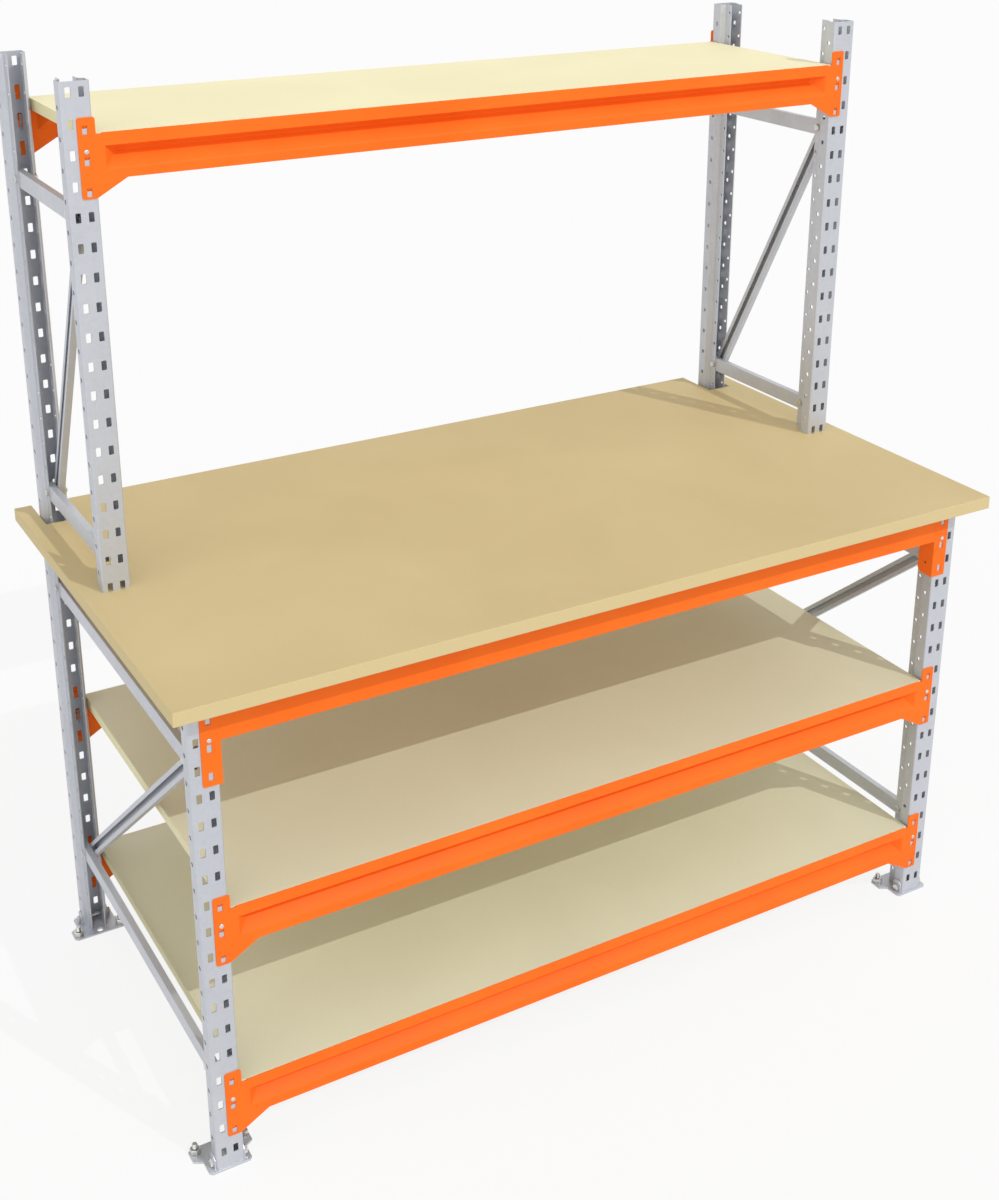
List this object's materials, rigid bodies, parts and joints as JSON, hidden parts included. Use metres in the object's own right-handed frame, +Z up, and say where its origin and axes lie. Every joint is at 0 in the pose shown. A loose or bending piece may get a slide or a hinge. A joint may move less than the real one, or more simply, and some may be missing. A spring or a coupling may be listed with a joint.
{
  "type": "packing table",
  "caption": "Packing table of slotted steel posts with hooked beams, a deep wooden worktop, boarded shelves below it and a shallower boarded shelf above its back half.",
  "frame": {"origin": "on the floor under the middle of the worktop", "axes": "+X along the table to the right seen from the front, +Y to the back, +Z up"},
  "size_m": [1.68, 0.9, 1.804],
  "materials": {
    "galvanised_steel": "galvanised sheet, dull spangle",
    "zinc_fasteners": "bright zinc plate",
    "orange_paint": "orange powder coat, satin",
    "worktop_board": "bare pressed wood board, fine chips",
    "shelf_board": "bare pressed wood board, fine chips"
  },
  "bodies": {
    "root": {"anchor_bolts": "zinc_fasteners", "anchor_washers": "zinc_fasteners", "brace_bolts": "zinc_fasteners", "brace_nuts": "zinc_fasteners", "foot_bolts": "zinc_fasteners", "foot_front_left": "galvanised_steel", "foot_front_right": "galvanised_steel", "foot_nuts": "zinc_fasteners", "foot_rear_left": "galvanised_steel", "foot_rear_right": "galvanised_steel", "lock_pins": "zinc_fasteners", "lower_left_bottom_strut": "galvanised_steel", "lower_left_diagonal": "galvanised_steel", "lower_left_top_strut": "galvanised_steel", "lower_right_bottom_strut": "galvanised_steel", "lower_right_diagonal": "galvanised_steel", "lower_right_top_strut": "galvanised_steel", "lowest_board": "shelf_board", "lowest_front_beam": "orange_paint", "lowest_rear_beam": "orange_paint", "middle_board": "shelf_board", "middle_front_beam": "orange_paint", "middle_rear_beam": "orange_paint", "post_front_left": "galvanised_steel", "post_front_right": "galvanised_steel", "post_rear_left": "galvanised_steel", "post_rear_right": "galvanised_steel", "post_upper_left": "galvanised_steel", "post_upper_right": "galvanised_steel", "top_board": "shelf_board", "top_front_beam": "orange_paint", "top_rear_beam": "orange_paint", "upper_left_bottom_strut": "galvanised_steel", "upper_left_diagonal": "galvanised_steel", "upper_left_top_strut": "galvanised_steel", "upper_right_bottom_strut": "galvanised_steel", "upper_right_diagonal": "galvanised_steel", "upper_right_top_strut": "galvanised_steel", "worktop": "worktop_board", "worktop_connector_front_left": "orange_paint", "worktop_connector_front_right": "orange_paint", "worktop_connector_rear_left": "orange_paint", "worktop_connector_rear_right": "orange_paint", "worktop_front_beam": "orange_paint", "worktop_rear_beam": "orange_paint"}
  },
  "joints": []
}
